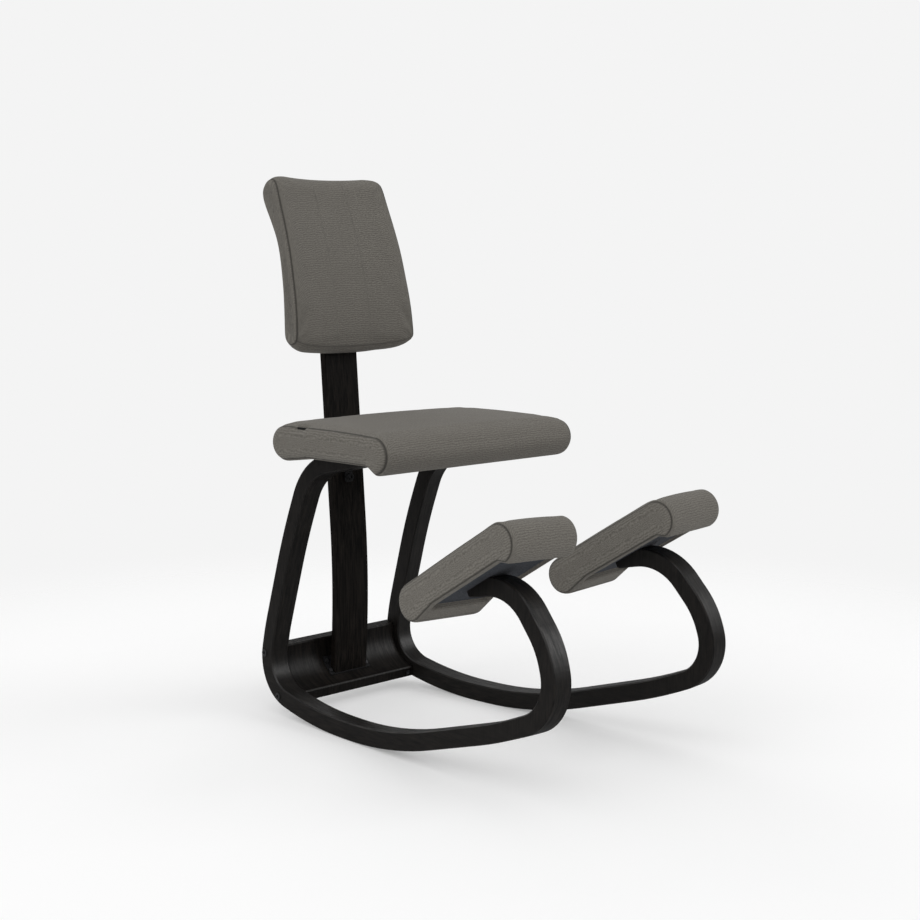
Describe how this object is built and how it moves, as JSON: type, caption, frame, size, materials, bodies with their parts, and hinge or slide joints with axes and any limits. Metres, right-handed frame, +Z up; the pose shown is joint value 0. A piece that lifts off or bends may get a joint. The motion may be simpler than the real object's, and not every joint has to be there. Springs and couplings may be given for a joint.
{
  "type": "kneeling chair",
  "caption": "Rocking kneeling chair: laminated curled runners joined at the heel, sloping knee rests, a padded seat and a curved back rest on a tall post.",
  "frame": {"origin": "on the floor, under the middle of the chair's overall box", "axes": "+Z up, -Y the way the sitter faces, X across the chair"},
  "size_m": [0.4784, 0.7741, 0.9303],
  "materials": {
    "stained_wood": "black stain, satin lacquer",
    "upholstery": "fine woven wool, warm grey",
    "liner_cloth": "dark slate cover under the pads",
    "plywood": "raw birch plywood",
    "black_steel": "black, semi matt",
    "black_plastic": "matt black"
  },
  "bodies": {
    "root": {"runner_right": "stained_wood", "runner_left": "stained_wood", "cross_member": "stained_wood", "back_post": "stained_wood", "frame_bolts": "black_steel", "barrel_nuts": "black_steel", "post_foot_plate": "black_steel", "foot_screws": "black_steel", "tab_screws": "black_steel", "seat_bracket": "black_steel", "bracket_screws": "black_steel", "post_bolt": "black_steel", "post_washer": "black_steel", "post_nut": "black_steel", "seat_board": "plywood", "seat_liner": "liner_cloth", "seat_cushion": "upholstery", "seat_bolts": "black_steel", "zip_slider": "black_plastic", "knee_board_right": "plywood", "knee_board_left": "plywood", "knee_liner_right": "liner_cloth", "knee_liner_left": "liner_cloth", "knee_cushion_right": "upholstery", "knee_cushion_left": "upholstery", "knee_bolts": "black_steel", "back_board": "plywood", "back_bolts": "black_steel", "back_cushion": "upholstery"}
  },
  "joints": []
}
